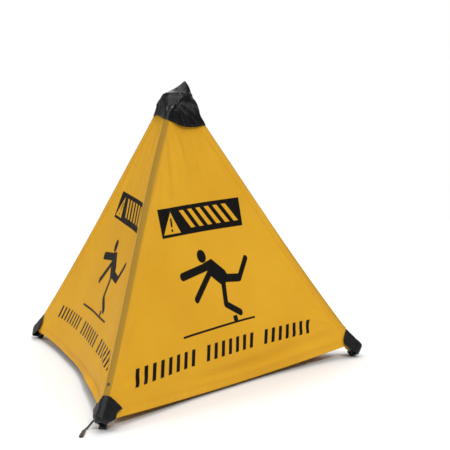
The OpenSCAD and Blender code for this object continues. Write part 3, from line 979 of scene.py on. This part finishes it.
def make_cap():
    """The crown rides on the hub, and the skirt's six parts ride on the legs just under its edge."""
    columns = 6 * CAP_SECTOR + 1
    # from leg a's left-hand face round to leg a again, in six half faces
    heading = np.linspace(LEG_AZ[0], LEG_AZ[0] + tau, columns)
    low = seam_height(heading)
    rise = np.linspace(0, 1, CAP_ROWS)[:, None]
    z = 0.4569 + (CROWN_Z - 0.4569) * rise**0.8 * np.ones((1, columns))
    crown = cap_surface(np.repeat(heading[None], CAP_ROWS, 0), z)
    skirt_z = CROWN_Z + (low[None] - CROWN_Z) * np.linspace(0, 1, SKIRT_ROWS)[:, None]
    skirt = cap_surface(np.repeat(heading[None], SKIRT_ROWS, 0), skirt_z)
    whole = np.concatenate([crown, skirt[1:]])
    normals = grid_normals(whole)
    normals[:, 0] = normals[:, -1] = unit(normals[:, 0] + normals[:, -1])
    shell_object("cap_crown", whole[:CAP_ROWS], normals[:CAP_ROWS], CAP_T, "cap")
    make_crown_tip(whole[0], normals[0])
    crown_piece = bpy.data.objects["cap_crown"]
    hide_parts("cap")
    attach(crown_piece, "hub")
    tuck_z = CROWN_Z + np.array([0.0052, 0.0036, 0.0018, 0.0006])
    tuck = cap_surface(np.repeat(heading[None], 4, 0), tuck_z[:, None] * np.ones((1, columns)))
    tuck_normals = grid_normals(np.concatenate([tuck, whole[CAP_ROWS - 1:CAP_ROWS + 1]]))[:4]
    tuck = tuck - tuck_normals * np.array([0.0012, 0.0012, 0.0012, 0.0009])[:, None, None]
    sheet = np.concatenate([tuck, whole[CAP_ROWS - 1:]])
    sheet_normals = np.concatenate([tuck_normals, normals[CAP_ROWS - 1:]])
    for n in range(6):
        k = ((n + 1) // 2) % 3
        part = slice(n * CAP_SECTOR, (n + 1) * CAP_SECTOR + 1)
        face = list(FACES)[n // 2]
        piece = shell_object(
            f"cap_skirt_{face}_{LEGS[k]}", sheet[:, part], sheet_normals[:, part], CAP_T, "cap"
        )
        gather_skirt(piece, k)
        row = sheet[-5, part] + sheet_normals[-5, part] * CAP_T / 2
        points, faces = stitches(row, sheet_normals[-5, part])
        thread = cloth_object(f"cap_stitch_{face}_{LEGS[k]}", points, faces, "black_thread")
        gather_skirt(thread, k)


def make_crown_tip(ring, ring_normals):
    """Closes the small hole at the top of the crown."""
    rings = [ring[:-1] + ring_normals[:-1] * CAP_T / 2]
    centre = ring[:-1].mean(0)
    for share, lift in ((0.6, 0.0002), (0.2, 0.0003)):
        rings.append(centre + (rings[0] - centre) * share + UP * lift)
    rings = [centre + (rings[0] - centre) * 0.9 - UP * 0.0008] + rings
    points, faces = loft(rings)
    tip = cloth_object("cap_tip", points, faces, "cap")
    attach(tip, "hub")


def gather_skirt(piece, k):
    """The cap's skirt rides on leg k, with a mesh of its own."""
    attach(piece, "leg_" + LEGS[k])
    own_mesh(piece)


# ---------- corner boots, tips and rivets ----------

# Rows of each boot down the rod: place, stand-off of its fold, how far its two lobes reach, first on the side
# of the leg's own sideways direction, and rounding of the fold. The front one has slid down the furthest.
BOOT_ROWS = {
    "a": [
        (0.4960, 0.0172, 0.0012, 0.0010, 0.0042), (0.4968, 0.0175, 0.0042, 0.0010, 0.0042),
        (0.4985, 0.0182, 0.0095, 0.0010, 0.0044), (0.5005, 0.0190, 0.0152, 0.0012, 0.0048),
        (0.5030, 0.0199, 0.0208, 0.0060, 0.0052), (0.5045, 0.0204, 0.0226, 0.0115, 0.0054),
        (0.5065, 0.0209, 0.0208, 0.0165, 0.0055), (0.5090, 0.0215, 0.0184, 0.0186, 0.0056),
        (0.5120, 0.0222, 0.0162, 0.0182, 0.0056), (0.5150, 0.0229, 0.0158, 0.0160, 0.0056),
        (0.5190, 0.0237, 0.0166, 0.0128, 0.0055), (0.5230, 0.0243, 0.0146, 0.0095, 0.0054),
        (0.5265, 0.0240, 0.0108, 0.0064, 0.0050), (0.5288, 0.0224, 0.0070, 0.0044, 0.0046),
        (0.5298, 0.0196, 0.0042, 0.0032, 0.0042),
    ],
    "b": [
        (0.4840, 0.0157, 0.0030, 0.0030, 0.0042), (0.4855, 0.0160, 0.0090, 0.0100, 0.0042),
        (0.4880, 0.0165, 0.0165, 0.0200, 0.0044), (0.4915, 0.0171, 0.0225, 0.0272, 0.0047),
        (0.4955, 0.0179, 0.0245, 0.0300, 0.0050), (0.5000, 0.0191, 0.0245, 0.0300, 0.0053),
        (0.5050, 0.0205, 0.0240, 0.0290, 0.0055), (0.5100, 0.0218, 0.0232, 0.0285, 0.0056),
        (0.5150, 0.0230, 0.0224, 0.0279, 0.0056), (0.5200, 0.0239, 0.0212, 0.0268, 0.0055),
        (0.5245, 0.0243, 0.0195, 0.0248, 0.0052), (0.5280, 0.0233, 0.0165, 0.0212, 0.0047),
        (0.5298, 0.0197, 0.0120, 0.0165, 0.0042),
    ],
    "c": [
        (0.4840, 0.0157, 0.0025, 0.0040, 0.0042), (0.4860, 0.0161, 0.0070, 0.0110, 0.0042),
        (0.4890, 0.0167, 0.0140, 0.0190, 0.0044), (0.4930, 0.0174, 0.0210, 0.0240, 0.0048),
        (0.4970, 0.0183, 0.0262, 0.0255, 0.0051), (0.5010, 0.0194, 0.0290, 0.0245, 0.0054),
        (0.5060, 0.0208, 0.0286, 0.0240, 0.0056), (0.5110, 0.0221, 0.0277, 0.0232, 0.0056),
        (0.5155, 0.0231, 0.0269, 0.0222, 0.0056), (0.5200, 0.0239, 0.0258, 0.0210, 0.0055),
        (0.5245, 0.0243, 0.0240, 0.0190, 0.0052), (0.5280, 0.0233, 0.0205, 0.0160, 0.0047),
        (0.5298, 0.0197, 0.0160, 0.0118, 0.0042),
    ],
}
BOOT_T = 0.0012
BOOT_LIFT = 0.0004
LOBE_COLUMNS = 9
PLEAT_H = 0.0004


def boot_row(k, s, off, left, right, rounding):
    """One row of the boot: a lobe, the round fold over the corner, and the other lobe."""
    _, side, _, square = leg_axes(k)
    rounding += NOSE_GROWTH
    centre = on_leg(k, s, off - rounding, ridge_side(k, s))
    row = []
    for t in np.linspace(1, 0, LOBE_COLUMNS)[:-1]:
        row.append(centre + boot_lobe(side, square, -1, t * right, rounding, s))
    for a in np.linspace(-(pi / 2 - WING_A), pi / 2 - WING_A, 11):
        row.append(centre + rounding * (square * cos(a) + side * sin(a)))
    for t in np.linspace(0, 1, LOBE_COLUMNS)[1:]:
        row.append(centre + boot_lobe(side, square, 1, t * left, rounding, s))
    return np.array(row)


def boot_lobe(side, square, turn, reach, rounding, s):
    """A place on a lobe, which lies on the face but for a few pleats that run down from the boot's top."""
    normal = square * sin(WING_A) + turn * side * cos(WING_A)
    along = -square * cos(WING_A) + turn * side * sin(WING_A)
    pleat = PLEAT_H * sin(reach * 700 + 40 * s + turn) * min(1.0, reach / 0.006)
    return normal * (rounding + BOOT_LIFT + pleat) + along * reach


def make_boot(k):
    """A vinyl patch folded round the corner, closed under it round the foot tip, with a stitched edge."""
    table = np.array(BOOT_ROWS[LEGS[k]])
    knots = np.arange(len(table), dtype=float)
    rows = []
    for q in np.linspace(0, len(table) - 1, 40):
        s, off, left, right, rounding = (
            float(smooth_table(np.array([q]), knots, table[:, i])[0]) for i in range(5)
        )
        pinch = 0.0010 * np.exp(-(((s - 0.512) / 0.008) ** 2))
        rows.append(boot_row(k, s, off - pinch, max(left, 0.0008), max(right, 0.0008), rounding))
    # the underside draws in to the foot tip
    last = rows[-1]
    centre = on_leg(k, 0.5250, 0.0)
    _, side, down, square = leg_axes(k)
    for share, sink in ((0.30, 0.0006), (0.62, 0.0), (0.86, -0.0014), (1.0, -0.0030)):
        target = []
        for j in range(len(last)):
            a = (j / (len(last) - 1) - 0.5) * radians(300)
            target.append(centre + 0.0056 * (square * cos(a) + side * sin(a)))
        rows.append(last + (np.array(target) - last) * share + down * sink)
    grid = np.array(rows)
    normals = grid_normals(grid)
    boot = shell_object("boot_" + LEGS[k], grid, normals, BOOT_T, "boot", exact=False)
    smooth = boot.modifiers.new("smooth", "SUBSURF")
    smooth.levels = smooth.render_levels = 1
    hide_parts("corner_boot_" + LEGS[k])
    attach(boot, "leg_" + LEGS[k])
    edge = grid[5:30, 1] + normals[5:30, 1] * BOOT_T / 2, normals[5:30, 1]
    other = grid[5:30, -2] + normals[5:30, -2] * BOOT_T / 2, normals[5:30, -2]
    points, faces = joined([stitches(*edge), stitches(*other)])
    thread = cloth_object("boot_stitch_" + LEGS[k], points, faces, "black_thread")
    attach(thread, "leg_" + LEGS[k])


def turned(profile, centre, axis, count=28):
    """Points and faces of a turned shape: profile is (along, radius) from one end to the other."""
    axis = unit(np.asarray(axis, float))
    side = unit(np.cross(axis, [0.3, 0.5, 0.8]))
    up = np.cross(axis, side)
    angles = np.linspace(0, tau, count, endpoint=False)
    rings = [
        [centre + axis * along + radius * (side * cos(a) + up * sin(a)) for a in angles]
        for along, radius in profile
    ]
    return loft(rings)


RIVET_S = 0.481


def make_rivet(k):
    """The snap rivet that holds the cloth's ridge to its rod, with a domed and rolled head."""
    _, _, _, square = leg_axes(k)
    off = float(ridge_off(RIVET_S)) + float(nose_radius(RIVET_S)) + 1.5 * CLOTH_T
    profile = [
        (-0.0020, 0.0009), (0.0, 0.0009), (0.0, 0.0018), (0.0002, 0.0021), (0.0004, 0.0020),
        (0.0005, 0.0017), (0.0004, 0.0013), (0.0005, 0.0009), (0.0007, 0.0003),
    ]
    points, faces = turned(profile, on_leg(k, RIVET_S, off - 0.0002, ridge_side(k, RIVET_S)), square)
    rivet = cloth_object("rivet_head_" + LEGS[k], points, faces, "rivet")
    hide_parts("rivet_" + LEGS[k])
    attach(rivet, "leg_" + LEGS[k])


# ---------- spring, cord and the CAD's own pieces ----------


def tube(path, radius, sides):
    """Points and faces of a round tube along a path."""
    path = np.asarray(path, float)
    along = unit(np.gradient(path, axis=0))
    side = unit(np.cross(along, [0.1, 0.2, 1.0]))
    up = np.cross(side, along)
    angles = np.linspace(0, tau, sides, endpoint=False)
    rings = [
        [c + radius * (n * cos(a) + b * sin(a)) for a in angles] for c, n, b in zip(path, side, up)
    ]
    return loft(rings)


SPRING_WIRE_R = 0.0005
SPRING_TURNS = 4.5


def make_spring():
    """The opening spring, wound between the collar and the cover, with its end turns closed."""
    low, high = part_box("opening_spring")
    coil = high.x - SPRING_WIRE_R
    bottom, top = low.z + SPRING_WIRE_R, high.z - SPRING_WIRE_R
    share = np.linspace(0, 1, int(SPRING_TURNS * 32))
    turn = tau * SPRING_TURNS * share
    climb = smooth_step(share, 0.0, 1.0) * 0.45 + share * 0.55
    path = np.stack([coil * np.cos(turn), coil * np.sin(turn), bottom + (top - bottom) * climb], axis=1)
    points, faces = tube(path, SPRING_WIRE_R, 10)
    spring = cloth_object("coil_spring", points, faces, "spring")
    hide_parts("opening_spring")
    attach(spring, "hub")
    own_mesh(spring)


def make_cord():
    curve = bpy.data.curves.new("cord", "CURVE")
    curve.dimensions = "3D"
    curve.bevel_depth = CORD_D / 2
    curve.bevel_resolution = 4
    curve.use_fill_caps = True
    spline = curve.splines.new("POLY")
    spline.points.add(len(CORD_ROUTE_MM) - 1)
    for point, place in zip(spline.points, CORD_ROUTE_MM):
        point.co = (*[c / 1000 for c in place], 1)
    cord = bpy.data.objects.new("cord", curve)
    bpy.context.scene.collection.objects.link(cord)
    curve.materials.append(MATERIALS["cord"])
    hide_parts("pull_cord")
    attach(cord, "leg_a")


CAD_LOOKS = {
    "hub_body": "hub", "hub_cover": "hub", "cover_screws": "steel", "hinge_pins": "steel",
    "guide_bolt": "steel", "stop_washer": "steel", "lock_nut": "steel", "lever_collar": "collar",
    "knuckle": "knuckle", "rod": "rod", "foot_tip": "rubber", "cord_tab": "tab",
}


def dress_cad():
    """Gives every CAD piece that stays its own material."""
    for name, piece in frame["nodes"].items():
        look = CAD_LOOKS.get(name) or CAD_LOOKS.get(name.rsplit("_", 1)[0])
        if look:
            piece.data.materials.clear()
            piece.data.materials.append(MATERIALS[look])


# ---------- floor and light ----------


FLOOR_HALF = 6.0


def make_floor():
    mesh = bpy.data.meshes.new("floor")
    corners = [(x * FLOOR_HALF, y * FLOOR_HALF, 0) for x, y in ((-1, -1), (1, -1), (1, 1), (-1, 1))]
    mesh.from_pydata(corners, [], [(0, 1, 2, 3)])
    p = Paint("floor_paint")
    p.set(Base_Color=p.mix(p.noise(3, 3), rgb(0.93, 0.93, 0.93), rgb(0.95, 0.95, 0.95)), Roughness=0.7)
    mesh.materials.append(p.material)
    floor = bpy.data.objects.new("floor", mesh)
    bpy.context.scene.collection.objects.link(floor)


def soft_sun(name, heading, height, strength, spread):
    """A far soft light from a heading and a height above the floor, both in degrees, as is its spread."""
    data = bpy.data.lights.new(name, "SUN")
    data.energy = strength
    data.angle = radians(spread)
    light = bpy.data.objects.new(name, data)
    bpy.context.scene.collection.objects.link(light)
    a, b = radians(heading), radians(height)
    light.rotation_mode = "QUATERNION"
    towards = Vector((cos(a) * cos(b), sin(a) * cos(b), sin(b)))
    light.rotation_quaternion = towards.to_track_quat("Z", "Y")


FILL = 0.22
# Name, heading, height, strength and spread of each light
SUNS = [
    ("key_right", -60, 40, 1.25, 12), ("key_left", 205, 40, 0.62, 16),
    ("key_back", 95, 40, 0.75, 40), ("top", 0, 90, 1.45, 70),
]


def make_lights():
    world = bpy.data.worlds.new("studio")
    world.use_nodes = True
    tree = world.node_tree
    fill = tree.nodes["Background"]
    fill.inputs["Color"].default_value = rgb(1.0, 1.0, 1.0)
    fill.inputs["Strength"].default_value = FILL
    white = tree.nodes.new("ShaderNodeBackground")
    white.inputs["Color"].default_value = rgb(1.0, 1.0, 1.0)
    white.inputs["Strength"].default_value = 1.0
    # The backdrop is plain white to the camera, and the room that lights the sign is dimmer
    seen = tree.nodes.new("ShaderNodeLightPath").outputs["Is Camera Ray"]
    mix = tree.nodes.new("ShaderNodeMixShader")
    tree.links.new(seen, mix.inputs[0])
    tree.links.new(fill.outputs[0], mix.inputs[1])
    tree.links.new(white.outputs[0], mix.inputs[2])
    tree.links.new(mix.outputs[0], tree.nodes["World Output"].inputs["Surface"])
    bpy.context.scene.world = world
    for sun in SUNS:
        soft_sun(*sun)


# ---------- build ----------

make_cord()
for face_name in FACES:
    make_face(face_name)
for leg in range(3):
    make_ridge(leg)
    make_boot(leg)
    make_rivet(leg)
make_cap()
make_spring()
dress_cad()
make_floor()
make_lights()
bpy.context.scene.view_settings.view_transform = "Standard"
